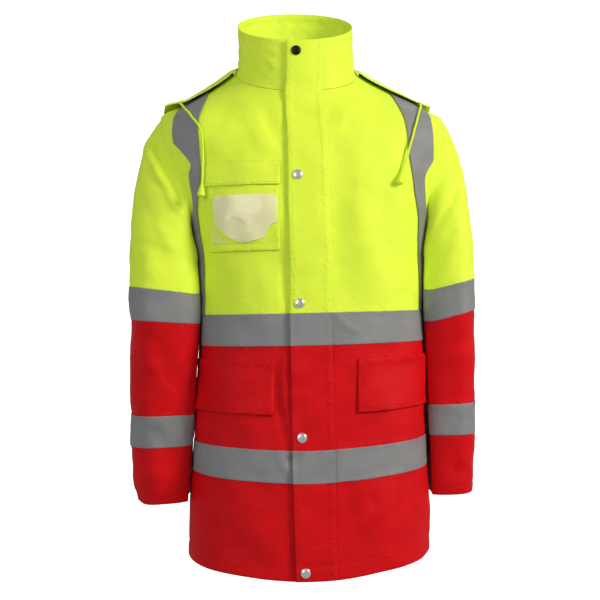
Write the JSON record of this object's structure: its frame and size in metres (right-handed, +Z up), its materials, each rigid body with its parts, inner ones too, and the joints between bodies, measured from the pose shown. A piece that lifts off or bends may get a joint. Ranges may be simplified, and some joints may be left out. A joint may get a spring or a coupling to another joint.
{
  "type": "work jacket",
  "caption": "Two-tone hi-vis padded work jacket with stand collar, dropped hood, storm flap, badge pocket and reflective tapes, filled out and open at neck, hem and cuffs.",
  "frame": {"origin": "midway between the two neck ends of the shoulder seams, where the wearer's shoulders carry it", "axes": "+Z up, -Y is the jacket's front, +X is the wearer's left"},
  "size_m": [0.5657, 0.3146, 0.9211],
  "materials": {
    "yellow": "matt coated woven",
    "red": "matt coated woven",
    "tape": "glass bead reflective",
    "steel": "satin",
    "dark": "dark lacquer",
    "clear": "clear film",
    "cord": "braided"
  },
  "bodies": {
    "root": {"front_right_upper": "yellow", "front_right_lower": "red", "front_left_upper": "yellow", "front_left_lower": "red", "back_upper": "yellow", "back_lower": "red", "chest_tape_right": "tape", "chest_tape_left": "tape", "chest_tape_back": "tape", "chest_tape_flap": "tape", "low_tape_right": "tape", "low_tape_left": "tape", "low_tape_back": "tape", "low_tape_flap": "tape", "collar": "yellow", "storm_flap_upper": "yellow", "storm_flap_lower": "red", "snap_collar": "dark", "snap_chest": "steel", "snap_waist": "steel", "snap_low": "steel", "snap_hem": "steel", "badge_pocket": "yellow", "badge_window": "clear", "badge_flap": "yellow", "pocket_flap_right": "red", "pocket_flap_left": "red", "harness_tape_right": "tape", "harness_tape_left": "tape", "sleeve_right_upper": "yellow", "sleeve_right_lower": "red", "sleeve_right_tape_1": "tape", "sleeve_right_tape_2": "tape", "sleeve_left_upper": "yellow", "sleeve_left_lower": "red", "sleeve_left_tape_1": "tape", "sleeve_left_tape_2": "tape", "hood": "yellow", "cord_right": "cord", "cord_end_right": "cord", "cord_left": "cord", "cord_end_left": "cord"}
  },
  "joints": []
}
